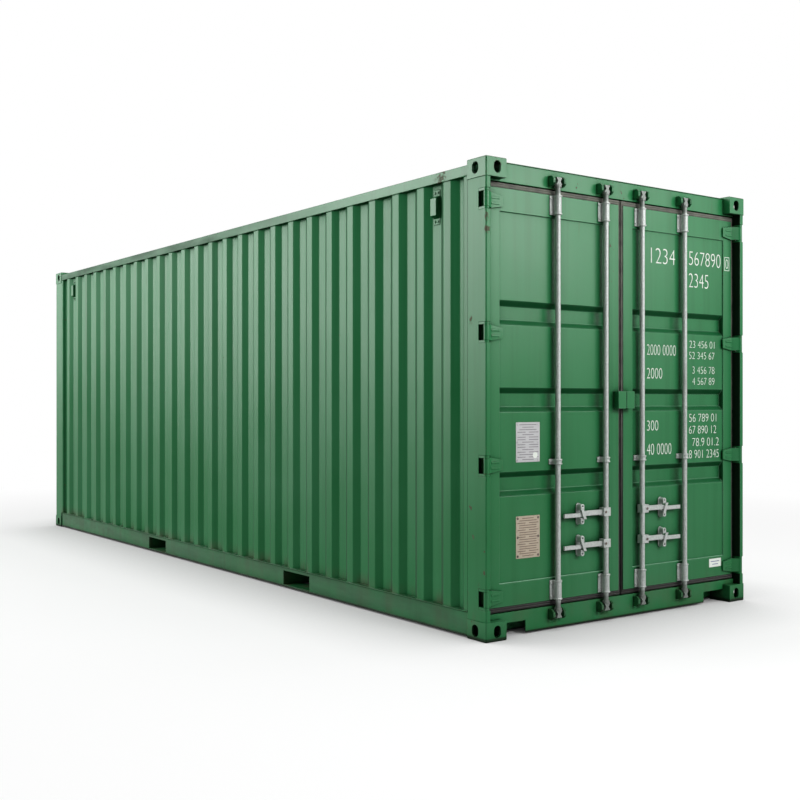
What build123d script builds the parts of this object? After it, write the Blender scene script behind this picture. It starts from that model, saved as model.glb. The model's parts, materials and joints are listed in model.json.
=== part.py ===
"""High-cube steel freight container with corrugated sides and a pair of locking end doors.

Millimetres, +Z up. The origin is on the ground under the middle of the box. The length runs along Y,
the door end faces -Y, and left and right are as seen by someone facing the doors.
Pieces are drawn in the frame of the lower left corner at the door end, where u runs inward from the
left side (+X), v runs inward from the door end (+Y) and z runs up, and are then moved to the origin.
"""
import os
from build123d import *

# Overall size
length = 7620.0
width = 2438.0
height = 2896.0

# Common gaps and cuts
overrun = 2.0
moving_gap = 5.0
bearing_gap = 0.4
fit_gap = 0.2

# Corner castings
casting_width = 162.0
casting_depth = 178.0
casting_height = 118.0
casting_wall = 18.0
casting_plate = 20.0
casting_chamfer = 6.0
lock_slot_length = 124.0
lock_slot_width = 63.5
lock_slot_u = 89.5
lock_slot_v = 101.5
side_hole_width = 60.0
end_hole_width = 55.0
oval_hole_height = 74.0

# Posts
skin_inset = 4.0
post_wall = 6.0
post_round = 8.0
nose_width = 38.0
post_shoulder_v = 120.0
post_inner_width = 108.0
blind_post_face_width = 96.0
blind_post_lip = 60.0

# Side rails
top_rail_height = 65.0
top_rail_width = 60.0
top_rail_drop = 29.0
top_rail_wall = 4.0
bottom_rail_base = 12.0
bottom_rail_top = 164.0
bottom_rail_web = 5.0
bottom_rail_flange = 42.0
bottom_rail_edge = 8.0
bottom_rail_set_back = 8.0

# Side and end corrugations
sheet = 2.0
wall_inset = 10.0
wave_depth = 30.0
wave_flat = 71.0
wave_slope = 58.0
ridge_count = 26
first_ridge = 350.0
side_flange = 43.0
side_flange_step = 16.0
end_wall_inset = 14.0
end_ridge_count = 7
end_edge_flat = 45.0

# Roof
roof_drop = 1.0
roof_wave_depth = 20.0
roof_wave_flat = 91.0
roof_wave_slope = 14.0
roof_ridge_count = 34
roof_edge_flat = 60.0

# Floor and underframe
floor_thickness = 28.0
floor_side_gap = 4.0
cross_member_flange = 45.0
cross_member_wall = 4.0
cross_member_count = 24
pocket_width = 380.0
pocket_wall = 5.0
pocket_centres = (2223.0, 4791.0)
pocket_strap = 150.0

# Door surround
surround_recess = 62.0
surround_wall = 6.0
header_drop = 8.0
header_height = 122.0
sill_bottom = 12.0
sill_top = 150.0
sill_notch_width = 210.0
sill_notch_top = 85.0
sill_notch_depth = 60.0

# Doors
door_recess = 60.0
door_thickness = 50.0
door_foot_gap = 37.0
door_head_gap = 36.0
door_hinge_edge = 69.0
stile_width = 90.0
bottom_member = 141.0
top_member = 144.0
panel_set_back = 8.0
trough_centre_shares = (0.2664, 0.4942, 0.7297)
trough_height = 149.0
trough_upper_slope = 36.0
trough_lower_slope = 32.0
trough_depth = 30.0
seal_half_gap = 6.0
seal_lip = 16.0
seal_set_back = 8.0
seal_thickness = 42.0
seal_hinge_edge = 48.0

# Hinges
pin_u = 22.0
pin_v = 22.0
pin_radius = 10.0
barrel_radius = 17.0
hinge_height = 95.0
hinge_count = 4
hinge_foot_inset = 66.0
hinge_head_inset = 86.0
lug_thickness = 14.0
strap_thickness = 12.0
strap_length = 153.0
strap_end_height = 62.0
strap_rib = 3.0
strap_rib_height = 12.0
strap_rib_spacing = 34.0
strap_rib_inset = 30.0
notch_v = 74.0

# Lock rods
rod_radius = 17.0
rod_v = 30.0
outer_rod_from_centre = 603.0
inner_rod_from_centre = 173.0
rod_foot_drop = 9.0
rod_head_rise = 9.0
collar_radius = 23.0
collar_height = 16.0
cam_width = 48.0
cam_depth = 28.0
cam_height = 46.0
cam_waist_share = 0.45
keeper_clear_radius = 38.0
keeper_width = 18.0
keeper_height = 66.0
keeper_front_v = 12.0

# Rod brackets
sleeve_radius = 23.0
sleeve_ring_radius = 27.0
sleeve_ring_height = 9.0
bracket_height = 120.0
bracket_width = 92.0
bracket_plate = 6.0
bracket_saddle = 40.0
bracket_end_inset = 6.0
guide_height = 34.0
guide_centre_share = 0.3225

# Handles and their retainers
handle_centre_shares = (0.0829, 0.1728)
hub_width = 60.0
hub_height = 54.0
hub_depth = 44.0
hub_offset = 9.0
hub_pin_radius = 9.0
hub_pin_head = 4.0
hub_pin_share = 0.25
lever_length = 377.0
lever_thickness = 12.0
lever_height = 32.0
grip_height = 25.0
grip_drop = 8.0
bend_start = 190.0
bend_end = 240.0
retainer_from_rod = 218.0
retainer_width = 40.0
retainer_height = 138.0
retainer_plate = 5.0
retainer_lug_height = 40.0
retainer_lug_width = 32.0
retainer_front_v = 24.0
retainer_round_share = 0.45
retainer_hole_radius = 6.0
hasp_gap = 6.0
hasp_thickness = 6.0
hasp_width = 22.0
hasp_height = 62.0
hasp_lean = 26.0

# Lock box over the meeting edges of the doors
lock_box_half_width = 76.0
lock_box_height = 114.0
lock_box_front_v = 8.0
lock_box_wall = 5.0
lock_box_half_gap = 3.0

# Side vents
vent_width = 58.0
vent_height = 144.0
vent_drop = 32.0
vent_tab_width = 64.0
vent_tab_height = 38.0
vent_hood_slope = 16.0
vent_tab_thickness = 4.0
vent_front_inset = 7.0

# Sizes worked out from the values above
half_width = width / 2
half_length = length / 2
casting_base = height - casting_height
rail_top = height - top_rail_drop
rail_bottom = rail_top - top_rail_height
nose_edge = skin_inset + nose_width
post_inner_edge = skin_inset + post_inner_width
rail_web_back = skin_inset + bottom_rail_set_back + bottom_rail_web
header_top = height - header_drop
header_bottom = header_top - header_height
door_bottom = sill_top + door_foot_gap
door_top = header_bottom - door_head_gap
panel_bottom = door_bottom + bottom_member
panel_top = door_top - top_member
panel_face_v = door_recess + panel_set_back
rod_bottom = sill_top - rod_foot_drop
rod_top = header_bottom + rod_head_rise
ridge_pitch = (length - 2 * first_ridge - wave_flat) / (ridge_count - 1)
leaf_free_edge = half_width - seal_half_gap - seal_lip
corner_frame = Pos(-half_width, -half_length, 0)


def up_the_panel(share):
    """Height of a point on the door panel at a share of the panel's own height."""
    return panel_bottom + share * (panel_top - panel_bottom)


trough_centres = [up_the_panel(share) for share in trough_centre_shares]
handle_centres = [up_the_panel(share) for share in handle_centre_shares]
guide_centre = up_the_panel(guide_centre_share)
hinge_pitch = (door_top - door_bottom - hinge_foot_inset - hinge_head_inset) / (hinge_count - 1)
hinge_centres = [door_bottom + hinge_foot_inset + index * hinge_pitch for index in range(hinge_count)]
bracket_reach = bracket_end_inset + bracket_height / 2
bracket_centres = (door_bottom + bracket_reach, door_top - bracket_reach)


def block(u_span, v_span, z_span):
    """A box between the ends of three spans."""
    spans = (u_span, v_span, z_span)
    sizes = [high - low for low, high in spans]
    middles = [(low + high) / 2 for low, high in spans]
    return Pos(*middles) * Box(*sizes)


def polygon(points):
    """A flat face with straight sides."""
    return make_face(Polyline(*points, close=True))


def plan_prism(points, z_span):
    """An upright prism over a plan drawn in u and v."""
    low, high = z_span
    return Pos(0, 0, low) * extrude(polygon(points), amount=high - low)


def lengthwise_prism(points, v_span):
    """A prism along v over a section drawn in u and z."""
    low, high = v_span
    face = Plane.XZ * polygon(points)
    return Pos(0, low, 0) * extrude(face, amount=high - low, dir=(0, 1, 0))


def crosswise_prism(points, u_span):
    """A prism along u over a section drawn in v and z."""
    low, high = u_span
    face = Plane.YZ * polygon(points)
    return Pos(low, 0, 0) * extrude(face, amount=high - low, dir=(1, 0, 0))


def upright_rod(u, v, radius, z_span):
    """A round bar standing on its centre line."""
    low, high = z_span
    return Pos(u, v, (low + high) / 2) * Cylinder(radius, high - low)


def around(middle, size):
    """The span of a given size about a middle."""
    return (middle - size / 2, middle + size / 2)


def to_right(shape):
    """The matching piece on the right side of the box."""
    return mirror(shape, about=Plane.YZ)


def to_blind_end(shape):
    """The matching piece at the blind end of the box."""
    return mirror(shape, about=Plane.XZ)


def save(name, shapes):
    """Write the solids of one node."""
    solids = [solid for shape in shapes for solid in shape.solids()]
    export_step(solids[0] if len(solids) == 1 else Compound(solids), f"parts/{name}.step")


def ridged_line(span, first, count, pitch, flat, slope, depth, edge, edge_slope, edge_rise=0):
    """Outer line of a pressed sheet: proud ridges between sunk valleys, with a proud flange at both ends."""
    low, high = span
    line = [(low, -edge_rise), (edge, -edge_rise), (edge + edge_slope, depth)]
    for index in range(count):
        start = first + index * pitch
        line += [(start - slope, depth), (start, 0), (start + flat, 0), (start + flat + slope, depth)]
    mirrored_edge = low + high - edge
    return line + [(mirrored_edge - edge_slope, depth), (mirrored_edge, -edge_rise), (high, -edge_rise)]


def make_casting():
    """Lower corner casting: a hollow block with a lock slot underneath and two oval side holes."""
    body = block((0, casting_width), (0, casting_depth), (0, casting_height))
    outer_edges = body.edges().sort_by_distance((0, 0, 0))[:3]
    body = chamfer(outer_edges, length=casting_chamfer)
    body -= block(
        (casting_wall, casting_width - casting_wall),
        (casting_wall, casting_depth - casting_wall),
        (casting_plate, casting_height - casting_plate),
    )
    lock_slot = SlotOverall(lock_slot_length, lock_slot_width, rotation=90)
    body -= Pos(lock_slot_u, lock_slot_v, -overrun) * extrude(lock_slot, amount=casting_plate + 2 * overrun)
    side_hole = Plane.YZ * SlotOverall(oval_hole_height, side_hole_width, rotation=90)
    side_cut = extrude(side_hole, amount=casting_wall + 2 * overrun, dir=(1, 0, 0))
    body -= Pos(-overrun, lock_slot_v, casting_height / 2) * side_cut
    end_hole = Plane.XZ * SlotOverall(oval_hole_height, end_hole_width, rotation=90)
    end_cut = extrude(end_hole, amount=casting_wall + 2 * overrun, dir=(0, 1, 0))
    body -= Pos(lock_slot_u, -overrun, casting_height / 2) * end_cut
    return body


def make_castings():
    lower = corner_frame * make_casting()
    upper = mirror(lower, about=Plane.XY.offset(height / 2))
    for level, casting in (("bottom", lower), ("top", upper)):
        save(f"casting_{level}_left_door_end", [casting])
        save(f"casting_{level}_right_door_end", [to_right(casting)])
        save(f"casting_{level}_left_blind_end", [to_blind_end(casting)])
        save(f"casting_{level}_right_blind_end", [to_right(to_blind_end(casting))])


def hollow_post(points, bends):
    """A closed section of bent plate between the castings, with its outermost corners rounded."""
    outline = polygon(points)
    outline = fillet(outline.vertices().sort_by_distance(points[0])[:bends], radius=post_round)
    section = outline - offset(outline, amount=-post_wall, kind=Kind.INTERSECTION)
    return Pos(0, 0, casting_height) * extrude(section, amount=casting_base - casting_height)


def hinge_span(centre):
    """Height of the notch that holds one hinge and its two lugs."""
    return around(centre, hinge_height + 2 * bearing_gap + 2 * lug_thickness)


def make_posts():
    door_post = hollow_post([
        (skin_inset, skin_inset),
        (nose_edge, skin_inset),
        (nose_edge, post_shoulder_v),
        (post_inner_edge, post_shoulder_v),
        (post_inner_edge, casting_depth),
        (skin_inset, casting_depth),
    ], bends=2)
    for centre in hinge_centres:
        door_post -= block((0, nose_edge + overrun), (0, notch_v), hinge_span(centre))
    door_post = corner_frame * door_post
    save("door_post_left", [door_post])
    save("door_post_right", [to_right(door_post)])

    blind_post = corner_frame * hollow_post([
        (skin_inset, skin_inset),
        (skin_inset + blind_post_face_width, skin_inset),
        (skin_inset + blind_post_face_width, skin_inset + blind_post_lip),
        (skin_inset + blind_post_lip, skin_inset + blind_post_lip),
        (skin_inset + blind_post_lip, casting_depth),
        (skin_inset, casting_depth),
    ], bends=1)
    save("blind_post_left", [to_blind_end(blind_post)])
    save("blind_post_right", [to_right(to_blind_end(blind_post))])


def make_side_rails():
    run = (casting_depth, length - casting_depth)
    top = block((skin_inset, skin_inset + top_rail_width), run, (rail_bottom, rail_top))
    top -= block(
        (skin_inset + top_rail_wall, skin_inset + top_rail_width - top_rail_wall),
        run,
        (rail_bottom + top_rail_wall, rail_top - top_rail_wall),
    )
    top = corner_frame * top
    save("top_rail_left", [top])
    save("top_rail_right", [to_right(top)])

    web_face = skin_inset + bottom_rail_set_back
    flange_edge = skin_inset + bottom_rail_flange
    flange_top = bottom_rail_base + bottom_rail_edge
    flange_foot = bottom_rail_top - bottom_rail_edge
    bottom = lengthwise_prism(
        [
            (skin_inset, bottom_rail_base), (flange_edge, bottom_rail_base),
            (flange_edge, flange_top), (rail_web_back, flange_top),
            (rail_web_back, flange_foot), (flange_edge, flange_foot),
            (flange_edge, bottom_rail_top), (skin_inset, bottom_rail_top),
            (skin_inset, flange_foot), (web_face, flange_foot),
            (web_face, flange_top), (skin_inset, flange_top),
        ],
        run,
    )
    for centre in pocket_centres:
        bottom -= block((0, rail_web_back + overrun), around(centre, pocket_width), pocket_span())
    bottom = corner_frame * bottom
    save("bottom_rail_left", [bottom])
    save("bottom_rail_right", [to_right(bottom)])


def floor_base():
    """Underside of the boards, which is the top of the cross members."""
    return bottom_rail_top - floor_thickness


def member_base():
    """Underside of the cross members, which rest on the lower flanges of the bottom rails."""
    return bottom_rail_base + bottom_rail_edge


def pocket_span():
    """Clear height of a fork pocket."""
    return (member_base() + pocket_wall, floor_base() - pocket_wall)


def make_walls():
    run = (casting_depth, length - casting_depth)
    line = ridged_line(
        run, first_ridge, ridge_count, ridge_pitch, wave_flat, wave_slope, wave_depth,
        edge=casting_depth + side_flange, edge_slope=side_flange_step, edge_rise=wall_inset - skin_inset,
    )
    outer = [(wall_inset + inward, along) for along, inward in line]
    inner = [(u + sheet, v) for u, v in reversed(outer)]
    side_wall = corner_frame * plan_prism(outer + inner, (bottom_rail_top, rail_bottom))
    save("side_wall_left", [side_wall])
    save("side_wall_right", [to_right(side_wall)])

    wall_edge = skin_inset + blind_post_face_width
    run = (wall_edge, width - wall_edge)
    first = wall_edge + end_edge_flat + 2 * wave_slope + wave_flat
    pitch = (width - 2 * first - wave_flat) / (end_ridge_count - 1)
    edge = wall_edge + end_edge_flat
    line = ridged_line(
        run, first, end_ridge_count, pitch, wave_flat, wave_slope, wave_depth, edge, edge_slope=wave_slope
    )
    outer = [(along, end_wall_inset + inward) for along, inward in line]
    inner = [(u, v + sheet) for u, v in reversed(outer)]
    end_wall = corner_frame * plan_prism(outer + inner, (bottom_rail_top, casting_base))
    save("blind_end_wall", [to_blind_end(end_wall)])


def make_roof():
    run = (casting_depth, length - casting_depth)
    edge = casting_depth + roof_edge_flat
    first = edge + 2 * roof_wave_slope + roof_wave_flat
    pitch = (length - 2 * first - roof_wave_flat) / (roof_ridge_count - 1)
    line = ridged_line(
        run, first, roof_ridge_count, pitch, roof_wave_flat, roof_wave_slope, roof_wave_depth,
        edge, edge_slope=roof_wave_slope,
    )
    upper = [(along, rail_top - roof_drop - inward) for along, inward in line]
    lower = [(v, z - sheet) for v, z in reversed(upper)]
    rail_edge = skin_inset + top_rail_width
    save("roof_panel", [corner_frame * crosswise_prism(upper + lower, (rail_edge, width - rail_edge))])


def make_floor():
    side = skin_inset + bottom_rail_flange + floor_side_gap
    run = (casting_depth, length - casting_depth)
    boards = block((side, width - side), run, (floor_base(), bottom_rail_top))
    save("plywood_floor", [corner_frame * boards])

    web = rail_web_back
    bottom = member_base()
    top = floor_base()
    pitch = (length - 2 * casting_depth - cross_member_flange) / (cross_member_count + 1)
    members = []
    for index in range(cross_member_count):
        v = casting_depth + (index + 1) * pitch
        middle = v + cross_member_flange / 2
        reach = (pocket_width + cross_member_flange) / 2 + 2 * pocket_wall
        if any(abs(middle - centre) < reach for centre in pocket_centres):
            continue
        members.append(crosswise_prism(
            [
                (v, bottom),
                (v + cross_member_flange, bottom),
                (v + cross_member_flange, bottom + cross_member_wall),
                (v + cross_member_wall, bottom + cross_member_wall),
                (v + cross_member_wall, top - cross_member_wall),
                (v + cross_member_flange, top - cross_member_wall),
                (v + cross_member_flange, top),
                (v, top),
            ],
            (web, width - web),
        ))
    save("cross_members", [corner_frame * member for member in members])


def make_fork_pockets():
    """Two tunnels for forks: side walls and a top plate right across, and a strap under each mouth."""
    web = rail_web_back
    across = (web, width - web)
    low, high = pocket_span()
    heights = (low - pocket_wall, high + pocket_wall)
    pieces = []
    for centre in pocket_centres:
        near, far = around(centre, pocket_width)
        between = (near + fit_gap, far - fit_gap)
        pieces.append(block(across, (near - pocket_wall, near), heights))
        pieces.append(block(across, (far, far + pocket_wall), heights))
        pieces.append(block(across, between, (high, high + pocket_wall)))
        for mouth in (web, width - web - pocket_strap):
            pieces.append(block((mouth, mouth + pocket_strap), between, (low - pocket_wall, low)))
    save("fork_pockets", [corner_frame * piece for piece in pieces])


def make_door_surround():
    side = casting_width
    back = casting_depth
    header = block((side, width - side), (surround_recess, back), (header_bottom, header_top))
    header -= block(
        (side, width - side),
        (surround_recess + surround_wall, back - surround_wall),
        (header_bottom + surround_wall, header_top - surround_wall),
    )
    shoulder = block((nose_edge, side), (surround_recess, post_shoulder_v), (header_bottom, casting_base))
    header += shoulder + mirror(shoulder, about=Plane.YZ.offset(half_width))
    save("door_header", [corner_frame * header])

    sill = block((side, width - side), (surround_recess, back), (sill_bottom, sill_top))
    sill -= block(
        (side, width - side),
        (surround_recess + surround_wall, back - surround_wall),
        (sill_bottom, sill_top - surround_wall),
    )
    notch = block(
        (side, side + sill_notch_width),
        (surround_recess, surround_recess + sill_notch_depth),
        (sill_bottom, sill_notch_top),
    )
    sill -= notch + mirror(notch, about=Plane.YZ.offset(half_width))
    shoulder = block((nose_edge, side), (surround_recess, post_shoulder_v), (casting_height, sill_top))
    sill += shoulder + mirror(shoulder, about=Plane.YZ.offset(half_width))
    save("door_sill", [corner_frame * sill])


def make_blind_end_members():
    side = casting_width
    depth = (skin_inset, skin_inset + blind_post_lip)
    rail = block((side, width - side), depth, (casting_base, rail_top))
    rail -= block(
        (side, width - side),
        (depth[0] + surround_wall, depth[1] - surround_wall),
        (casting_base + surround_wall, rail_top - surround_wall),
    )
    back = casting_depth
    rail += block((side, width - side), (depth[1], back), (rail_top - surround_wall, rail_top))
    rail += block((side, width - side), (back - surround_wall, back), (rail_bottom, rail_top))
    save("blind_top_rail", [to_blind_end(corner_frame * rail)])

    sill = block((side, width - side), (skin_inset, back), (sill_bottom, bottom_rail_top))
    sill -= block(
        (side, width - side),
        (skin_inset + surround_wall, back - surround_wall),
        (sill_bottom, bottom_rail_top - surround_wall),
    )
    shoulder = block((skin_inset + blind_post_face_width, side), depth, (casting_height, bottom_rail_top))
    sill += shoulder + mirror(shoulder, about=Plane.YZ.offset(half_width))
    save("blind_sill", [to_blind_end(corner_frame * sill)])


def make_vents():
    """Small hooded air vents in the first full valley of each side wall, at both ends."""
    back = wall_inset + wave_depth
    middle = first_ridge + (wave_flat + ridge_pitch) / 2
    tab_top = rail_bottom - vent_drop
    hood_top = tab_top - vent_tab_height
    hood_foot = hood_top - vent_height
    hood = lengthwise_prism(
        [
            (back, hood_foot),
            (vent_front_inset, hood_foot + vent_hood_slope),
            (vent_front_inset, hood_top - vent_hood_slope),
            (back, hood_top),
        ],
        around(middle, vent_width),
    )
    hood += block(
        (back - vent_tab_thickness, back),
        around(middle, vent_tab_width),
        (hood_foot - vent_tab_height, tab_top),
    )
    vent = corner_frame * hood
    save("side_vents", [vent, to_right(vent), to_blind_end(vent), to_right(to_blind_end(vent))])


def rod_places():
    """Distance of the outer and the inner lock rod from the left side."""
    return {"outer": half_width - outer_rod_from_centre, "inner": half_width - inner_rod_from_centre}


def cam_span(level):
    """Height taken by the cam at the top or the bottom of a rod."""
    if level == "top":
        return (rod_top + collar_height, rod_top + collar_height + cam_height)
    return (rod_bottom - collar_height - cam_height, rod_bottom - collar_height)


def make_keepers():
    """Pairs of upright cheeks on the header and the sill, with the cams between them."""
    cheeks = []
    for u in rod_places().values():
        for level in ("top", "bottom"):
            low, high = cam_span(level)
            heights = around((low + high) / 2, keeper_height)
            for side in (-1, 1):
                near = u + side * keeper_clear_radius
                far = near + side * keeper_width
                cheek = block((min(near, far), max(near, far)), (keeper_front_v, surround_recess), heights)
                front_edges = cheek.edges().filter_by(Axis.X).group_by(Axis.Y)[0]
                cheeks.append(corner_frame * chamfer(front_edges, length=keeper_width))
    save("cam_keepers", cheeks + [to_right(cheek) for cheek in cheeks])


def make_hinge_lugs():
    """Two lugs and a pin for each hinge, set in the notches of the door posts."""
    hinges = []
    for centre in hinge_centres:
        low, high = hinge_span(centre)
        lug_plan = [
            (pin_u - barrel_radius, pin_v),
            (pin_u + barrel_radius, pin_v),
            (nose_edge, notch_v),
            (skin_inset, notch_v),
        ]
        hinge = upright_rod(pin_u, pin_v, pin_radius, (low, high))
        for foot in (low, high - lug_thickness):
            heights = (foot, foot + lug_thickness)
            hinge += plan_prism(lug_plan, heights) + upright_rod(pin_u, pin_v, barrel_radius, heights)
        hinges.append(corner_frame * hinge)
    save("hinge_lugs", hinges + [to_right(hinge) for hinge in hinges])


def make_hinge_blades():
    """Cranked straps that run from the hinge pins back to the face of the leaf."""
    crank_u = door_hinge_edge + strap_thickness
    strap_plan = [
        (pin_u, pin_v - barrel_radius),
        (crank_u, door_recess - strap_thickness),
        (pin_u + strap_length, door_recess - strap_thickness),
        (pin_u + strap_length, door_recess),
        (door_hinge_edge, door_recess),
        (pin_u - strap_thickness, pin_v + strap_thickness),
    ]
    blades = []
    for centre in hinge_centres:
        heights = around(centre, hinge_height)
        blade = plan_prism(strap_plan, heights) + upright_rod(pin_u, pin_v, barrel_radius, heights)
        blade -= upright_rod(pin_u, pin_v, pin_radius + bearing_gap, heights)
        drop = (hinge_height - strap_end_height) / 2
        tip = pin_u + strap_length
        for side in (-1, 1):
            edge = centre + side * hinge_height / 2
            trim = lengthwise_prism(
                [(crank_u, edge), (tip, edge), (tip, edge - side * drop)], (0, door_recess + overrun)
            )
            blade -= trim
            blade += block(
                (crank_u, tip - strap_rib_inset),
                (door_recess - strap_thickness - strap_rib, door_recess - strap_thickness),
                around(centre + side * strap_rib_spacing / 2, strap_rib_height),
            )
        blades.append(corner_frame * blade)
    return blades


def panel_opening():
    """Span in u of the opening in the leaf that the panel fills."""
    return (door_hinge_edge + stile_width, leaf_free_edge - stile_width)


def make_leaf():
    """Frame of a door leaf: two stiles, a top member and a bottom member welded into a ring."""
    depth = (door_recess, door_recess + door_thickness)
    frame = block((door_hinge_edge, leaf_free_edge), depth, (door_bottom, door_top))
    frame -= block(panel_opening(), depth, (panel_bottom, panel_top))
    return corner_frame * frame


def make_door_panel():
    """Pressed sheet with three sunk bands across it."""
    line = [(panel_face_v, panel_bottom)]
    for centre in trough_centres:
        bottom, top = around(centre, trough_height)
        line += [
            (panel_face_v, bottom),
            (panel_face_v + trough_depth, bottom + trough_lower_slope),
            (panel_face_v + trough_depth, top - trough_upper_slope),
            (panel_face_v, top),
        ]
    line.append((panel_face_v, panel_top))
    back = [(v + sheet, z) for v, z in reversed(line)]
    return corner_frame * crosswise_prism(line + back, panel_opening())


def make_seal():
    """Rubber seal round the edge of a leaf."""
    depth = (door_recess + seal_set_back, door_recess + seal_set_back + seal_thickness)
    heights = (sill_top + moving_gap, header_bottom - moving_gap)
    seal = block((seal_hinge_edge, half_width - seal_half_gap), depth, heights)
    return corner_frame * (seal - block((door_hinge_edge, leaf_free_edge), depth, (door_bottom, door_top)))


def make_rod_brackets():
    """Bearing brackets at both ends of each rod, and a guide part of the way up."""
    brackets = []
    for u in rod_places().values():
        for centre in bracket_centres:
            brackets.append(rod_bracket(u, centre, bracket_height, bracket_width, door_recess))
        brackets.append(rod_bracket(u, guide_centre, guide_height, bracket_width, panel_seat(u)))
    return [corner_frame * bracket for bracket in brackets]


def panel_seat(u):
    """Depth of the leaf's face behind a point: the stile or the panel."""
    low, high = panel_opening()
    return panel_face_v if low < u < high else door_recess


def rod_bracket(u, centre, tall, wide, seat_v):
    heights = around(centre, tall)
    bracket = block(around(u, wide), (seat_v - bracket_plate, seat_v), heights)
    bracket += block(around(u, bracket_saddle), (rod_v, seat_v - bracket_plate), heights)
    bracket += upright_rod(u, rod_v, sleeve_radius, heights)
    for end in (heights[0], heights[1] - sleeve_ring_height):
        bracket += upright_rod(u, rod_v, sleeve_ring_radius, (end, end + sleeve_ring_height))
    return bracket - upright_rod(u, rod_v, rod_radius + bearing_gap, heights)


def make_handle_retainers():
    """Plates with a lug above and a lug below each lever, open to the front."""
    u = rod_places()["inner"] - retainer_from_rod
    seat_v = panel_face_v
    retainers = []
    for centre in handle_centres:
        middle = centre - grip_drop / 2
        outline = Plane.XZ * SlotOverall(retainer_height, retainer_width, rotation=90)
        plate = extrude(outline, amount=retainer_plate, dir=(0, 1, 0))
        retainer = Pos(u, seat_v - retainer_plate, middle) * plate
        room = (lever_height + grip_drop) / 2 + moving_gap
        for side in (-1, 1):
            near = middle + side * room
            far = near + side * retainer_lug_height
            lug = block(
                around(u, retainer_lug_width),
                (retainer_front_v, seat_v - retainer_plate),
                (min(near, far), max(near, far)),
            )
            outer_edges = lug.edges().filter_by(Axis.Y).group_by(Axis.Z)[-1 if side > 0 else 0]
            retainer += fillet(outer_edges, radius=retainer_lug_width * retainer_round_share)
            hole = Plane.XZ * Circle(retainer_hole_radius)
            drill = extrude(hole, amount=seat_v, dir=(0, 1, 0))
            retainer -= Pos(u, 0, far - side * retainer_lug_width / 2) * drill
        retainers.append(corner_frame * retainer)
    return retainers


def make_lock_box_half():
    """Half of the steel box over the meeting edges, open underneath for a padlock."""
    outer_edge = half_width - lock_box_half_width
    inner_edge = half_width - lock_box_half_gap
    heights = around(trough_centres[len(trough_centres) // 2], lock_box_height)
    half = block((outer_edge, inner_edge), (lock_box_front_v, door_recess), heights)
    half -= block(
        (outer_edge + lock_box_wall, inner_edge),
        (lock_box_front_v + lock_box_wall, door_recess),
        (heights[0], heights[1] - lock_box_wall),
    )
    return corner_frame * half


def make_rod(u):
    """Lock rod with a collar and a waisted cam at each end."""
    rod = upright_rod(u, rod_v, rod_radius, (rod_bottom, rod_top))
    rod += upright_rod(u, rod_v, collar_radius, (rod_bottom - collar_height, rod_bottom))
    rod += upright_rod(u, rod_v, collar_radius, (rod_top, rod_top + collar_height))
    waist = cam_width * cam_waist_share / 2
    for level in ("top", "bottom"):
        low, high = cam_span(level)
        middle = (low + high) / 2
        half = cam_width / 2
        cam = [
            (u - half, low), (u + half, low), (u + waist, middle),
            (u + half, high), (u - half, high), (u - waist, middle),
        ]
        rod += lengthwise_prism(cam, around(rod_v, cam_depth))
    return corner_frame * rod


def make_handles():
    """Two cranked levers with square hubs on the inner rod, pointing to the outer rod."""
    u = rod_places()["inner"]
    handles = []
    for centre in handle_centres:
        heights = around(centre, hub_height)
        handle = block(around(u - hub_offset, hub_width), around(rod_v, hub_depth), heights)
        handle -= upright_rod(u, rod_v, rod_radius + fit_gap, heights)
        root = u - hub_offset - hub_width / 2
        arm = lever_height / 2
        grip = grip_height / 2
        low = centre - grip_drop
        lever = [
            (root, centre + arm), (u - bend_start, centre + arm), (u - bend_end, low + grip),
            (u - lever_length, low + grip), (u - lever_length, low - grip), (u - bend_end, low - grip),
            (u - bend_start, centre - arm), (root, centre - arm),
        ]
        handle += lengthwise_prism(lever, around(rod_v, lever_thickness))
        pin_head = extrude(Plane.XZ * Circle(hub_pin_radius), amount=hub_pin_head, dir=(0, -1, 0))
        handle += Pos(u - hub_offset - hub_width * hub_pin_share, rod_v - hub_depth / 2, centre) * pin_head
        handle += make_hasp(u - retainer_from_rod, centre - grip_drop / 2)
        handles.append(corner_frame * handle)
    return handles


def make_hasp(u, middle):
    """Leaning seal strap on the front of a lever, in front of its retainer."""
    lever_front = rod_v - lever_thickness / 2
    hasp_back = lever_front - hasp_gap
    half = hasp_width / 2
    top = middle + hasp_height / 2
    foot = middle - hasp_height / 2
    lean = hasp_lean / 2
    strap = lengthwise_prism(
        [(u - lean - half, top), (u - lean + half, top), (u + lean + half, foot), (u + lean - half, foot)],
        (hasp_back - hasp_thickness, hasp_back),
    )
    return strap + block(around(u, hasp_width), (hasp_back, lever_front), around(middle, hasp_width))


def make_doors():
    pieces = {
        "door_frame": [make_leaf()],
        "door_panel": [make_door_panel()],
        "door_seal": [make_seal()],
        "hinge_blades": make_hinge_blades(),
        "rod_brackets": make_rod_brackets(),
        "handle_retainers": make_handle_retainers(),
        "lock_box": [make_lock_box_half()],
        "handles": make_handles(),
    }
    for place, u in rod_places().items():
        pieces[f"{place}_lock_rod"] = [make_rod(u)]
    for name, shapes in pieces.items():
        save(f"left_{name}", shapes)
        save(f"right_{name}", [to_right(shape) for shape in shapes])


os.makedirs("parts", exist_ok=True)
make_castings()
make_posts()
make_side_rails()
make_walls()
make_roof()
make_floor()
make_fork_pockets()
make_door_surround()
make_blind_end_members()
make_vents()
make_keepers()
make_hinge_lugs()
make_doors()
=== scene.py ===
"""Looks of the freight container: camera, light, finishes and the small fittings left out of the solids.

Metres, in the frame shared with the CAD part: the length runs along Y, the doors face -Y, the ground is z 0.
"""
import json
import math
import bmesh
import bpy
from mathutils import Matrix, Vector


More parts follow.
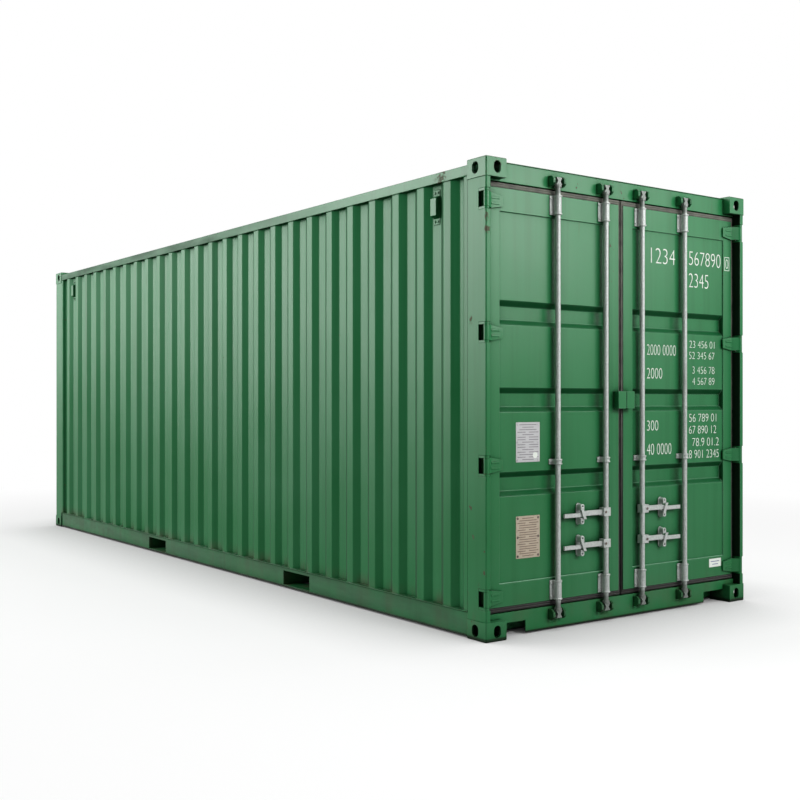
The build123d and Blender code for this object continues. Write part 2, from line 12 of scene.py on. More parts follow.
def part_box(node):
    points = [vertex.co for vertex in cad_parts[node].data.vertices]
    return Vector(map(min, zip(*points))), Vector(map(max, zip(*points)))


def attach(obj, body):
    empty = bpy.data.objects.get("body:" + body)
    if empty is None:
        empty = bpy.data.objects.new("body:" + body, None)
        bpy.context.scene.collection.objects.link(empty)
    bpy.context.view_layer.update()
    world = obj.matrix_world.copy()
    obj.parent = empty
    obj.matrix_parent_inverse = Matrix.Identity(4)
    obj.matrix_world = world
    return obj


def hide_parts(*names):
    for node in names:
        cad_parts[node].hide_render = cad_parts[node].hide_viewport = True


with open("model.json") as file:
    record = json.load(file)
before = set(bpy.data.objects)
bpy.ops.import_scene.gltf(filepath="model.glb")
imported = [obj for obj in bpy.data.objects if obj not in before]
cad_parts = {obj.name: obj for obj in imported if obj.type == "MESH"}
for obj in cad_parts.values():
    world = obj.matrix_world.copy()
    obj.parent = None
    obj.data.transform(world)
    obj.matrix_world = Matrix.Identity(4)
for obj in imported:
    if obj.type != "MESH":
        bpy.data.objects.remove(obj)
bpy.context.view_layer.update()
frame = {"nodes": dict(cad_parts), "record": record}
X, Y, Z = range(3)
doorward = (0, -1, 0)
upward = (0, 0, 1)

# Camera, level, from the photograph's perspective
image_side = 800.0
focal_pixels = 1103.1
camera_place = (-5.465, -8.799, 1.443)
camera_azimuth = 35.94
camera_pitch = 90.0
camera_reach = 200.0
sensor_width = 36.0

# Lamps: place, the point that each faces, width, height and power
lamps = {
    "side_softbox": ((-53.4, 56.0, 21.5), (-1.2, 0.0, 1.5), 58.0, 40.0, 55000.0),
    "side_fill": ((-9.0, 4.6, 4.6), (-1.2, 2.4, 1.5), 6.0, 4.0, 260.0),
    "door_softbox": ((0.7, -12.2, 6.4), (0.0, -3.8, 1.7), 2.6, 2.0, 530.0),
    "door_glint": ((4.7, -11.0, 4.5), (0.0, -3.8, 2.0), 5.0, 3.4, 320.0),
    "overhead_softbox": ((1.5, 0.0, 11.0), (0.0, 0.0, 0.0), 12.0, 12.0, 1300.0),
}
ambient_strength = 0.12
white = (1.0, 1.0, 1.0, 1.0)

# What mirrors show of the surroundings: bright on the right, dimmer on the left and low down
mirror_level = 0.80
mirror_azimuth = 70.0
mirror_left_to_right = (-1.20, 0.30, 0.06)
mirror_horizon = (-0.08, 0.16, 0.08)

# Floor
floor_reach = 60.0
floor_albedo = 0.36
floor_glow = 0.55
floor_white_from = 4.6
floor_white_to = 9.5
floor_shade_reach = 0.9
floor_shade_samples = 8

# Paint colours, linear, with those of painted shade and of a painted highlight among them
green = (0.012, 0.142, 0.040, 1.0)
green_faded = (0.022, 0.160, 0.056, 1.0)
green_deep = (0.008, 0.108, 0.030, 1.0)
green_bleached_and_lit = (0.021, 0.200, 0.066, 1.0)
green_ledge_shade = (0.006, 0.075, 0.022, 1.0)
green_shade = (0.002, 0.042, 0.011, 1.0)
green_highlight = (0.100, 0.270, 0.150, 1.0)
dirt_brown = (0.075, 0.060, 0.036, 1.0)
rust_dark = (0.032, 0.018, 0.010, 1.0)
rust_light = (0.088, 0.056, 0.031, 1.0)
shade_and_grime_dark = (0.003, 0.008, 0.004, 1.0)
ground_shade_dark = (0.010, 0.010, 0.007, 1.0)
scratch_pale = (0.10, 0.22, 0.13, 1.0)

# Colours of the zinc, the rubber and the floor boards, linear
zinc_dark = (0.44, 0.47, 0.45, 1.0)
zinc_light = (0.54, 0.57, 0.55, 1.0)
zinc_stain = (0.25, 0.27, 0.24, 1.0)
zinc_grime = (0.10, 0.12, 0.10, 1.0)
rubber_black = (0.016, 0.015, 0.013, 1.0)
rubber_dust_and_sheen = (0.150, 0.155, 0.125, 1.0)
wood_dark = (0.16, 0.075, 0.030, 1.0)
wood_light = (0.33, 0.18, 0.085, 1.0)
wood_scuff = (0.10, 0.085, 0.070, 1.0)
wood_joint = (0.02, 0.014, 0.010, 1.0)

# Marks and plates: the coat's colour, the colour that shows at scuffs, how scuffed it is, and its roughness
coats = {
    # A pale green painted highlight for the foot line of the door panels
    "foot_highlight_paint": ((0.13, 0.31, 0.18, 1.0), green, 0.0, 0.4),
    "white_marks": ((0.78, 0.82, 0.76, 1.0), green_faded, 0.0, 0.45),
    "white_plate": ((0.52, 0.52, 0.53, 1.0), (0.35, 0.34, 0.33, 1.0), 0.02, 0.40),
    "white_plate_ink": ((0.20, 0.19, 0.20, 1.0), (0.40, 0.39, 0.39, 1.0), 0.05, 0.5),
    "tan_plate": ((0.45, 0.38, 0.29, 1.0), (0.20, 0.14, 0.09, 1.0), 0.05, 0.45),
    "tan_plate_ink": ((0.15, 0.10, 0.07, 1.0), (0.34, 0.27, 0.19, 1.0), 0.05, 0.5),
    "sticker_ink": ((0.09, 0.12, 0.32, 1.0), (0.30, 0.32, 0.42, 1.0), 0.02, 0.5),
    "rusty_pin": ((0.13, 0.10, 0.085, 1.0), rust_dark, 0.08, 0.5),
}
stain_share = 0.75

# Gloss of the paint, of the duller side and posts, and how much more the faces towards -Y have
paint_sheen = 0.24
dull_sheen = 0.17
front_sheen = 1.75

# Where painted shade at the ground line, fading with a painted sheen, dust with a painted sheen on the
# rubber, stains, painted shade in the door gaps and hinge notches, darkening of the top rails and dirt set
# in and where they are full: heights, and for three of them places along Y
ground_shade_line = (0.027, 0.017)
fade_and_sheen_heights = (0.5, 2.8)
dust_and_sheen_heights = (0.1, 2.7)
rod_foot_stain = (0.195, 0.165)
rod_head_stain = (2.720, 2.745)
door_gap_shade_depth = (-3.690, -3.720)
barrel_back_shade = (-3.786, -3.776)
rail_darkening_run = (-3.0, 0.5)
full_dirt_height = 0.12

# Rust at knocks on the frame, each a point and its reach
rail_rust_spots = (((-1.219, -3.364, 2.830), 0.045),)
post_rust_spots = (
    ((-1.217, -3.808, 2.530), 0.022), ((-1.217, -3.808, 2.460), 0.026), ((-1.217, -3.790, 0.545), 0.010),
    ((-1.217, -3.790, 0.410), 0.013), ((-1.217, -3.740, 0.325), 0.016), ((-1.217, -3.660, 0.795), 0.014),
    ((-1.217, -3.690, 0.620), 0.012), ((-1.217, -3.668, 1.930), 0.024),
)

# Even textures: how often each varies in a metre, its detail, and for some its roughness
cloud_noise = (0.9, 3.0)
chip_noise = (34.0, 6.0, 0.7)
patch_noise = (2.3, 3.0)
cluster_noise = (1.7, 2.0)
speck_noise = (26.0, 8.0, 0.62)
rust_noise = (90.0, 4.0)
wave_noise = (2.2, 2.0)
peel_noise = (260.0, 2.0)
keeper_noise = (14.0, 4.0)
zinc_rust_noise = (30.0, 7.0, 0.65)
zinc_noise = (140.0, 3.0)
dust_noise = (11.0, 6.0)
crack_noise = (180.0, 3.0)
scuff_noise = (55.0, 7.0, 0.68)
stain_noise = (9.0, 5.0)
coat_noise = (220.0, 3.0)
spangle_scale = 120.0

# Strengths and heights of the bumps
wave_bump = (0.10, 0.02)
peel_bump = (0.04, 0.001)
rust_bump = (0.3, 0.001)
zinc_bump = (0.04, 0.001)
crack_bump = (0.15, 0.001)
grain_bump = (0.2, 0.002)
joint_bump = (-0.6, 0.003)
coat_bump = (0.06, 0.0005)

# How far worn edges reach, and how far off a face still counts as near an inner corner or a hollow, for
# painted shade, dirt and rust there
worn_edge_reach = 0.012
corner_reach = 0.09
hollow_shade_reach = 0.25
zinc_corner_reach = 0.02

# How often the streaky textures vary along x, y and z
streak_stretch = (11.0, 11.0, 0.35)
fine_streak_stretch = (46.0, 46.0, 1.1)
grime_stretch = (7.0, 7.0, 2.5)
rust_run_stretch = (24.0, 24.0, 1.3)
scratch_stretch = (90.0, 90.0, 5.0)
rail_stretch = (9.0, 2.0, 9.0)
zinc_stain_stretch = (16.0, 16.0, 3.0)
grain_stretch = (60.0, 2.0, 60.0)
wheel_scuff_stretch = (6.0, 1.2, 6.0)

# Pressed sheets: the axis that the line runs along, the axis of its waves, the side that shows, the bends
sheet = 0.002
bend_steps = 4
bend_share = 0.45
pressed_sheets = {
    "side_wall_left": (Y, X, -1, 0.024),
    "side_wall_right": (Y, X, 1, 0.024),
    "blind_end_wall": (X, Y, 1, 0.024),
    "roof_panel": (Y, Z, 1, 0.012),
    "left_door_panel": (Z, Y, -1, 0.008),
    "right_door_panel": (Z, Y, -1, 0.008),
}

# Rounded edges of the other pieces
edge_round = 0.003
edge_segments = 2
weld_reach = 0.00002
bend_angle = math.radians(35.0)

# Weld beads and thin pressed lines, a painted highlight line at the foot of the door panels, a painted shade
# line along the header, and the faces of the posts that the beads cross
wall_bead = 0.004
post_bead = 0.003
panel_bead = 0.003
foot_highlight_bead = 0.004
header_shade_line = 0.004
header_shade_line_inset = 0.010
door_post_nose = 0.038
blind_post_face = 0.096

# Bolts, rivets and screws, each a radius and a height, and what they stand on
hexagon = 6
rivet_sides = 8
cap_sides = 12
washer_share = 1.45
washer_height_share = 0.3
head_taper = 0.86
vent_tab = 0.038
vent_tab_width = 0.064
vent_tab_thickness = 0.004
vent_bolt = (0.007, 0.006)
vent_bolt_spread = 0.030
rod_offsets = (0.603, 0.173)
bracket_height = 0.120
bracket_bolt = (0.007, 0.005)
bracket_bolt_spread = (0.072, 0.084)
bracket_face = -3.756
guide_face = -3.748
guide_height = 1.0561

# Rubber seals: their ribs, where the ribs lie across the lips, and the widths of the lips
rib_radius = 0.0045
rib_shares = (0.30, 0.74)
seal_lips = {"hinge": 0.021, "free": 0.016, "foot": 0.032, "head": 0.031}

# Plates on the left door and the sticker on the right one: spans in x and z
panel_face = -3.742
stile_face = -3.750
plate_thickness = 0.0015
plate_corner = 0.004
plate_chamfer = 0.4
white_plate_spans = ((-0.922, -0.724), (1.060, 1.306))
white_plate_mark = ((-0.782, -0.744), (1.082, 1.120))
mark_roundness = 0.45
tan_plate_spans = ((-0.922, -0.724), (0.468, 0.728))
sticker_spans = ((0.904, 1.034), (0.255, 0.314))
rivet = (0.0055, 0.003)
rivet_inset = 0.014
rule_height = 0.0045
rule_corner = 0.0018
rule_rise = 0.0003

# Plain numbers painted on the right door: text, span in x, span in z and the face that they are on
paint_rise = 0.0005
number_thinning = -0.020
check_box = ((1.074, 1.128), (2.372, 2.470))
check_line = 0.004
check_corner = 0.0004
numbers = (
    ("1234", (0.303, 0.549), (2.372, 2.478), panel_face),
    ("567890", (0.694, 1.040), (2.388, 2.484), panel_face),
    ("0", (1.086, 1.116), (2.388, 2.454), stile_face),
    ("2345", (0.694, 0.905), (2.230, 2.330), panel_face),
    ("2000 0000", (0.262, 0.556), (1.748, 1.820), panel_face),
    ("23 456 01", (0.700, 0.972), (1.808, 1.858), panel_face),
    ("52 345 67", (0.696, 0.972), (1.730, 1.780), panel_face),
    ("2000", (0.262, 0.416), (1.588, 1.660), panel_face),
    ("3 456 78", (0.732, 0.972), (1.628, 1.678), panel_face),
    ("4 567 89", (0.732, 0.972), (1.550, 1.600), panel_face),
    ("300", (0.262, 0.376), (1.236, 1.304), panel_face),
    ("56 789 01", (0.696, 0.992), (1.290, 1.346), panel_face),
    ("67 890 12", (0.696, 0.992), (1.206, 1.262), panel_face),
    ("40 0000", (0.262, 0.510), (1.072, 1.146), panel_face),
    ("78.9 01.2", (0.732, 1.020), (1.118, 1.176), panel_face),
    ("8 901 2345", (0.696, 1.020), (1.034, 1.092), panel_face),
)

# Floor boards and their screws
board_length = 2.40
board_width = 0.390
board_joint = 0.003
screw = (0.006, 0.001)
screw_columns = 12
screw_pitch = 0.29
screw_margin = 0.05

# Handle hubs: the rusty ends of their pins
hub_pin_x = 0.197
hub_pin_heights = (0.5151, 0.7181)
hub_pin_face = -3.806
pin_cap = (0.006, 0.002)

# Sockets of a colour mix: the share, both colours and the result
share_socket, first_socket, second_socket, mixed_socket = 0, 6, 7, 2


class Graph:
    """Builds the nodes of one shader, with every texture in the part's own coordinates."""

    def __init__(self, tree):
        self.tree = tree
        tree.nodes.clear()

    def add(self, kind, inputs=None, **settings):
        node = self.tree.nodes.new(kind)
        for name, value in settings.items():
            setattr(node, name, value)
        for socket, value in (inputs or {}).items():
            self.put(node.inputs[socket], value)
        return node

    def put(self, socket, value):
        if isinstance(value, bpy.types.NodeSocket):
            self.tree.links.new(value, socket)
        else:
            socket.default_value = value

    def place(self):
        return self.add("ShaderNodeTexCoord").outputs["Object"]

    def split(self, vector):
        return self.add("ShaderNodeSeparateXYZ", {"Vector": vector}).outputs

    def stretch(self, vector, scale):
        return self.add("ShaderNodeMapping", {"Vector": vector, "Scale": scale}).outputs["Vector"]

    def noise(self, vector, scale, detail=4.0, roughness=0.55):
        inputs = {"Vector": vector, "Scale": scale, "Detail": detail, "Roughness": roughness}
        return self.add("ShaderNodeTexNoise", inputs).outputs["Fac"]

    def streaks(self, vector, stretch, detail, roughness=0.55):
        return self.noise(self.stretch(vector, stretch), 1.0, detail, roughness)

    def math(self, operation, first, second=0.0):
        return self.add("ShaderNodeMath", {0: first, 1: second}, operation=operation).outputs[0]

    def times(self, first, second):
        return self.math("MULTIPLY", first, second)

    def dot(self, first, second):
        inputs = {0: first, 1: second}
        return self.add("ShaderNodeVectorMath", inputs, operation="DOT_PRODUCT").outputs["Value"]

    def ramp(self, value, low, high, start=0.0, end=1.0):
        inputs = {"Value": value, "From Min": low, "From Max": high, "To Min": start, "To Max": end}
        return self.add("ShaderNodeMapRange", inputs, interpolation_type="SMOOTHSTEP").outputs["Result"]

    def mix(self, share, first, second):
        inputs = {share_socket: share, first_socket: first, second_socket: second}
        return self.add("ShaderNodeMix", inputs, data_type="RGBA").outputs[mixed_socket]

    def facing(self):
        """The way that a face looks, in the part's own coordinates."""
        normal = self.add("ShaderNodeNewGeometry").outputs["Normal"]
        turned = self.add("ShaderNodeVectorTransform", {"Vector": normal}, vector_type="NORMAL",
                          convert_from="WORLD", convert_to="OBJECT")
        return self.split(turned.outputs["Vector"])

    def spot(self, place, centre, reach, ragged):
        """1 near a point and 0 away from it, with a ragged rim."""
        away = self.add("ShaderNodeVectorMath", {0: place, 1: centre}, operation="DISTANCE").outputs["Value"]
        rim = self.math("ADD", away, self.ramp(ragged, 0.3, 0.7, -reach, reach))
        return self.ramp(rim, reach, 0.3 * reach)

    def edges(self, radius):
        """Near 0 on flat faces and towards 1 at sharp edges."""
        rounded = self.add("ShaderNodeBevel", {"Radius": radius}, samples=4).outputs["Normal"]
        plain = self.add("ShaderNodeNewGeometry").outputs["Normal"]
        return self.ramp(self.dot(rounded, plain), 0.99, 0.86)

    def openness(self, distance, samples=4):
        """1 on open faces and towards 0 in inner corners and hollows."""
        return self.add("ShaderNodeAmbientOcclusion", {"Distance": distance}, samples=samples).outputs["AO"]

    def lines(self, value, pitch, width):
        """1 on thin lines at an even pitch."""
        return self.ramp(self.math("PINGPONG", value, pitch / 2), width, 0.0)

    def bump(self, height, strength, distance, normal=None):
        inputs = {"Height": height, "Strength": strength, "Distance": distance}
        if normal is not None:
            inputs["Normal"] = normal
        return self.add("ShaderNodeBump", inputs).outputs["Normal"]


def new_material(name):
    material = bpy.data.materials.new(name)
    material.use_nodes = True
    return material, Graph(material.node_tree)


def close(graph, inputs):
    """Ends a graph in one principled shader."""
    shader = graph.add("ShaderNodeBsdfPrincipled", inputs)
    graph.add("ShaderNodeOutputMaterial", {"Surface": shader.outputs["BSDF"]})


def door_gap_shade(g, place):
    """Painted shade on the faces of the door posts that look into the gap beside the doors."""
    x, y = g.split(place)[:Z]
    inward = g.ramp(g.times(x, g.facing()[X]), -0.4, -0.8)
    return g.times(inward, g.ramp(y, *door_gap_shade_depth, 0.0, 0.95))


def hinge_notch_shade(g, place):
    """Painted shade on the back of the hinge barrels, deep in the notches of the posts."""
    x, y = g.split(place)[:Z]
    outward = g.ramp(g.times(x, g.facing()[X]), 0.25, 0.55)
    return g.times(outward, g.ramp(y, *barrel_back_shade, 0.0, 0.92))


def casting_hollow_shade(g, place):
    """Painted shade inside the corner castings."""
    return g.ramp(g.openness(hollow_shade_reach), 0.50, 0.22, 0.0, 0.96)


def keeper_shade(g, place):
    """Even blotches of painted shade on the cam keepers."""
    return g.ramp(g.noise(place, *keeper_noise), 0.35, 0.65, 0.10, 0.45)


def rail_blotches(g, place, least, most):
    return g.ramp(g.streaks(place, rail_stretch, 5.0), 0.30, 0.70, least, most)


def top_rail_darkening(g, place):
    """Dark blotches along the top rails, more of them towards the blind end."""
    return g.times(rail_blotches(g, place, 0.35, 0.65), g.ramp(g.split(place)[Y], *rail_darkening_run))


def low_rail_grime(g, place):
    """Blotches all along the bottom rails."""
    return rail_blotches(g, place, 0.15, 0.42)


def rib_lee_shade(g, place):
    """Painted shade on the sides of the ribs that face the blind end."""
    return g.ramp(g.facing()[Y], 0.15, 0.40, 0.0, 0.60)


def blind_gap_shade(g, place):
    """Painted shade on the faces of the blind-end posts that look along the walls."""
    return g.ramp(g.facing()[Y], -0.30, -0.70, 0.0, 0.90)


def painted_steel(name, rust_level=0.05, dirt_top=0.30, dirt_level=0.25, wear_level=0.06, sheen=paint_sheen,
                  edge_highlights=0.0, crevice_shade_level=0.0, shade_and_grime_part=None, rust_spots=()):
    """Green paint, faded and with a painted sheen high up, with streaks, dirt low down and in corners,
    painted shade in corners, on slanting faces and at the ground line, painted highlights on edges, and rust
    at knocked edges.
    """
    material, g = new_material(name)
    place = g.place()
    height = g.split(place)[Z]
    facing = g.facing()
    rise = facing[Z]
    clouds = g.noise(place, *cloud_noise)
    streaks = g.streaks(place, streak_stretch, 5.0)
    fine = g.streaks(place, fine_streak_stretch, 4.0)
    colour = g.mix(g.ramp(clouds, 0.3, 0.7), green, green_faded)
    # Fading and a painted sheen: the paint turns paler towards the top
    colour = g.mix(g.ramp(height, *fade_and_sheen_heights, 0.0, 0.85), colour, green_bleached_and_lit)
    colour = g.mix(g.ramp(streaks, 0.45, 0.75, 0.0, 0.45), colour, green_deep)
    colour = g.mix(g.ramp(fine, 0.55, 0.80, 0.0, 0.4), colour, green_faded)
    # Painted shade: faces that look down turn a near black green and lose their gloss
    under = g.ramp(rise, -0.15, -0.50, 0.0, 0.85)
    # Painted shade: faces that look up at a slant, such as the lower slopes of the door troughs, turn a
    # darker green and lose gloss
    ledge_shade = g.times(g.ramp(rise, 0.15, 0.50, 0.0, 0.75), g.ramp(rise, 0.95, 0.80))
    colour = g.mix(under, colour, green_shade)
    colour = g.mix(ledge_shade, colour, green_ledge_shade)

    grime = g.streaks(place, grime_stretch, 7.0, 0.62)
    open_share = g.openness(corner_reach)
    foot = g.times(g.ramp(height, dirt_top, full_dirt_height), g.ramp(grime, 0.42, 0.68, 0.02, dirt_level))
    crevice = g.times(g.ramp(open_share, 0.75, 0.35), g.ramp(grime, 0.40, 0.68, 0.05, 0.55))
    dirt = g.math("MAXIMUM", foot, crevice)
    colour = g.mix(dirt, colour, dirt_brown)
    # Painted shade: near black in inner corners and hollows
    colour = g.mix(g.ramp(open_share, 0.50, 0.12, 0.0, 0.92), colour, shade_and_grime_dark)
    # Painted shade: for the doors and walls also in shallower recesses, such as behind the lock rods and
    # under the top rails
    if crevice_shade_level:
        colour = g.mix(g.ramp(open_share, 0.85, 0.50, 0.0, crevice_shade_level), colour, shade_and_grime_dark)
    # Painted shade: a near black band along the lowest edges, next to the ground
    colour = g.mix(g.ramp(height, *ground_shade_line, 0.0, 0.85), colour, ground_shade_dark)

    chips = g.noise(place, *chip_noise)
    patches = g.ramp(g.noise(place, *patch_noise), 0.44, 0.62)
    edges = g.edges(worn_edge_reach)
    # Painted highlight: a pale green along edges, standing for the light that rounded edges catch
    if edge_highlights:
        edge_highlight = g.ramp(clouds, 0.3, 0.6, 0.4 * edge_highlights, edge_highlights)
        colour = g.mix(g.times(edges, edge_highlight), colour, green_highlight)
    worn = g.times(edges, g.times(patches, g.ramp(chips, 0.60 - wear_level, 0.68 - wear_level)))
    clusters = g.ramp(g.noise(place, *cluster_noise), 0.52, 0.68)
    specks = g.ramp(g.noise(place, *speck_noise), 0.70 - rust_level, 0.75 - rust_level)
    runs = g.streaks(place, rust_run_stretch, 5.0)
    weeping = g.times(clusters, g.ramp(runs, 0.66 - rust_level, 0.80, 0.0, 0.5))
    rust = g.math("MAXIMUM", worn, g.math("MAXIMUM", g.times(clusters, specks), weeping))
    for centre, reach in rust_spots:
        rust = g.math("MAXIMUM", rust, g.times(g.spot(place, centre, reach, chips), 0.85))
    rust_colour = g.mix(g.noise(place, *rust_noise), rust_dark, rust_light)
    colour = g.mix(rust, colour, rust_colour)

    scratches = g.ramp(g.streaks(place, scratch_stretch, 2.0), 0.74, 0.78, 0.0, 0.35)
    colour = g.mix(g.times(scratches, patches), colour, scratch_pale)
    dull = g.math("ADD", g.times(rust, 0.35), g.times(dirt, 0.3))
    # Each paint's own mask: painted shade in the door gaps, hinge notches, casting hollows, on the keepers
    # and one side of the ribs, and dark blotches on the rails
    if shade_and_grime_part is not None:
        dark = shade_and_grime_part(g, place)
        colour = g.mix(dark, colour, shade_and_grime_dark)
        dull = g.math("ADD", dull, g.times(dark, 0.45))
    gloss = g.ramp(facing[Y], -0.4, -0.8, sheen, front_sheen * sheen)
    gloss = g.times(gloss, g.ramp(open_share, 0.60, 0.88, 0.05, 1.0))
    gloss = g.times(gloss, g.math("SUBTRACT", 1.0, g.math("MAXIMUM", under, ledge_shade)))
    roughness = g.math("ADD", g.ramp(clouds, 0.2, 0.8, 0.30, 0.38), dull)
    normal = g.bump(g.noise(place, *wave_noise), *wave_bump)
    normal = g.bump(g.noise(place, *peel_noise), *peel_bump, normal)
    normal = g.bump(rust, *rust_bump, normal)
    close(g, {"Base Color": colour, "Roughness": roughness, "Normal": normal, "Specular IOR Level": gloss})
    return material


def galvanised_steel(name):
    """Zinc with a fine spangle, grey stains, grimy rod ends and a little rust."""
    material, g = new_material(name)
    place = g.place()
    height = g.split(place)[Z]
    spangle = g.add("ShaderNodeTexVoronoi", {"Vector": place, "Scale": spangle_scale}).outputs["Color"]
    grey = g.split(spangle)[X]
    colour = g.mix(g.ramp(grey, 0.0, 1.0), zinc_dark, zinc_light)
    ends = g.math("MAXIMUM", g.ramp(height, *rod_foot_stain), g.ramp(height, *rod_head_stain))
    colour = g.mix(g.times(ends, 0.7), colour, zinc_grime)
    stain = g.ramp(g.streaks(place, zinc_stain_stretch, 5.0), 0.55, 0.75, 0.0, 0.6)
    colour = g.mix(stain, colour, zinc_stain)
    rust = g.ramp(g.noise(place, *zinc_rust_noise), 0.68, 0.76, 0.0, 0.6)
    rust = g.math("MAXIMUM", rust, g.ramp(g.openness(zinc_corner_reach), 0.80, 0.30, 0.0, 0.25))
    colour = g.mix(rust, colour, rust_light)
    roughness = g.math("ADD", g.ramp(grey, 0.0, 1.0, 0.44, 0.54), g.times(rust, 0.3))
    normal = g.bump(g.noise(place, *zinc_noise), *zinc_bump)
    close(g, {"Base Color": colour, "Roughness": roughness, "Normal": normal, "Metallic": 0.4})
    return material


def rubber(name):
    """Weathered rubber, near black at the foot and grey higher up from dust and a painted sheen."""
    material, g = new_material(name)
    place = g.place()
    patches = g.ramp(g.noise(place, *dust_noise), 0.30, 0.65, 0.35, 1.0)
    # Dust and a painted sheen: the rubber greys towards the top
    dust = g.times(patches, g.ramp(g.split(place)[Z], *dust_and_sheen_heights))
    colour = g.mix(dust, rubber_black, rubber_dust_and_sheen)
    normal = g.bump(g.noise(place, *crack_noise), *crack_bump)
    close(g, {"Base Color": colour, "Roughness": g.ramp(dust, 0.0, 1.0, 0.45, 0.75), "Normal": normal})
    return material


def plywood(name):
    """Varnished boards with dark joints and wheel scuffs."""
    material, g = new_material(name)
    place = g.place()
    x, y = g.split(place)[:Z]
    grain = g.streaks(place, grain_stretch, 5.0)
    colour = g.mix(grain, wood_dark, wood_light)
    scuffs = g.ramp(g.streaks(place, wheel_scuff_stretch, 7.0), 0.5, 0.72, 0.0, 0.6)
    colour = g.mix(scuffs, colour, wood_scuff)
    joints = g.math("MAXIMUM", g.lines(x, board_width, board_joint), g.lines(y, board_length, board_joint))
    colour = g.mix(joints, colour, wood_joint)
    normal = g.bump(grain, *grain_bump)
    normal = g.bump(joints, *joint_bump, normal)
    close(g, {"Base Color": colour, "Roughness": g.ramp(scuffs, 0.0, 0.6, 0.42, 0.70), "Normal": normal})
    return material


def worn_coat(name, clean, worn, level, roughness):
    """A thin coat, such as a mark or a plate, with scuffs where another colour shows."""
    material, g = new_material(name)
    place = g.place()
    scuffs = g.ramp(g.noise(place, *scuff_noise), 0.62 - level, 0.72 - level, 0.0, 0.8)
    stains = g.ramp(g.noise(place, *stain_noise), 0.42, 0.72, 0.0, 0.4)
    red, green_part, blue, opacity = clean
    stained = (stain_share * red, stain_share * green_part, stain_share * blue, opacity)
    colour = g.mix(scuffs, g.mix(stains, clean, stained), worn)
    dulled = g.ramp(stains, 0.0, 0.4, roughness, roughness + 0.2)
    normal = g.bump(g.noise(place, *coat_noise), *coat_bump)
    close(g, {"Base Color": colour, "Roughness": dulled, "Normal": normal})
    return material


# Paint jobs, and how each differs from the plain paint of the frame
wall_wear = {"rust_level": 0.02, "dirt_top": 0.27, "dirt_level": 0.70, "wear_level": 0.03,
             "crevice_shade_level": 0.6}
paints = {
    "frame_paint": {},
    "rail_paint": {"shade_and_grime_part": top_rail_darkening, "rust_spots": rail_rust_spots},
    "low_rail_paint": {"shade_and_grime_part": low_rail_grime},
    "casting_paint": {"rust_level": 0.06, "dirt_level": 0.30, "wear_level": 0.13,
                      "shade_and_grime_part": casting_hollow_shade},
    "blind_post_paint": {"shade_and_grime_part": blind_gap_shade},
    "post_paint": {"sheen": dull_sheen, "shade_and_grime_part": door_gap_shade, "rust_spots": post_rust_spots},
    "hinge_paint": {"rust_level": 0.04, "shade_and_grime_part": hinge_notch_shade},
    "keeper_shade_paint": {"rust_level": 0.08, "wear_level": 0.10, "shade_and_grime_part": keeper_shade},
    "wall_paint": wall_wear,
    "side_paint": {**wall_wear, "sheen": dull_sheen, "shade_and_grime_part": rib_lee_shade},
    "door_paint": {"rust_level": 0.02, "dirt_top": 0.35, "dirt_level": 0.20, "wear_level": 0.03,
                   "edge_highlights": 0.6, "crevice_shade_level": 0.75},
    "underframe_paint": {"rust_level": 0.08, "dirt_top": 0.60, "dirt_level": 0.70, "wear_level": 0.08},
}
finishes = {name: painted_steel(name, **changes) for name, changes in paints.items()}
finishes.update({name: worn_coat(name, *look) for name, look in coats.items()})
finishes["galvanised_steel"] = galvanised_steel("galvanised_steel")
finishes["rubber_seal"] = rubber("rubber_seal")
finishes["plywood"] = plywood("plywood")

# Nodes, by a word in their names, with a paint of their own in place of their slot's
own_paints = {
    "casting": "casting_paint", "door_post": "post_paint", "blind_post": "blind_post_paint",
    "hinge_blades": "hinge_paint", "keeper": "keeper_shade_paint", "top_rail_": "rail_paint",
    "bottom_rail": "low_rail_paint", "side_wall": "side_paint",
}
bodies = frame["record"]["behaviour"]["bodies"]
body_of = {node: body for body, nodes in bodies.items() for node in nodes}
slot_of = {part["node"]: part["material_slot"] for part in frame["record"]["subparts"]}


def add_piece(name, mesh, finish, body):
    """A visible piece that rides on a body."""
    mesh.materials.append(finishes[finish])
    piece = bpy.data.objects.new(name, mesh)
    bpy.context.scene.collection.objects.link(piece)
    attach(piece, body)
    return piece


def mesh_of(name, bm):
    """Ends a mesh under construction, smooth where it bends gently."""
    bmesh.ops.recalc_face_normals(bm, faces=bm.faces)
    mesh = bpy.data.meshes.new(name)
    bm.to_mesh(mesh)
    bm.free()
    mesh.shade_smooth()
    mesh.set_sharp_from_angle(angle=bend_angle)
    return mesh


def add_built(name, bm, finish, body):
    """A visible piece from a mesh under construction."""
    return add_piece(name, mesh_of(name, bm), finish, body)


def finish_of(node):
    """The finish of a node: that of its slot, or a paint of its own."""
    for word, finish in own_paints.items():
        if word in node:
            return finish
    return slot_of[node]


def finish_nodes():
    """Finishes on all the solids, and rounded edges on those that stay in sight."""
    for name, node in frame["nodes"].items():
        node.data.materials.clear()
        node.data.materials.append(finishes[finish_of(name)])
        if name not in pressed_sheets:
            round_edges(node)


def round_edges(node):
    weld = node.modifiers.new("weld", "WELD")
    weld.merge_threshold = weld_reach
    bevel = node.modifiers.new("rounded_edges", "BEVEL")
    bevel.width = edge_round
    bevel.segments = edge_segments
    bevel.limit_method = "ANGLE"
    bevel.angle_limit = bend_angle
    node.modifiers.new("face_normals", "WEIGHTED_NORMAL")


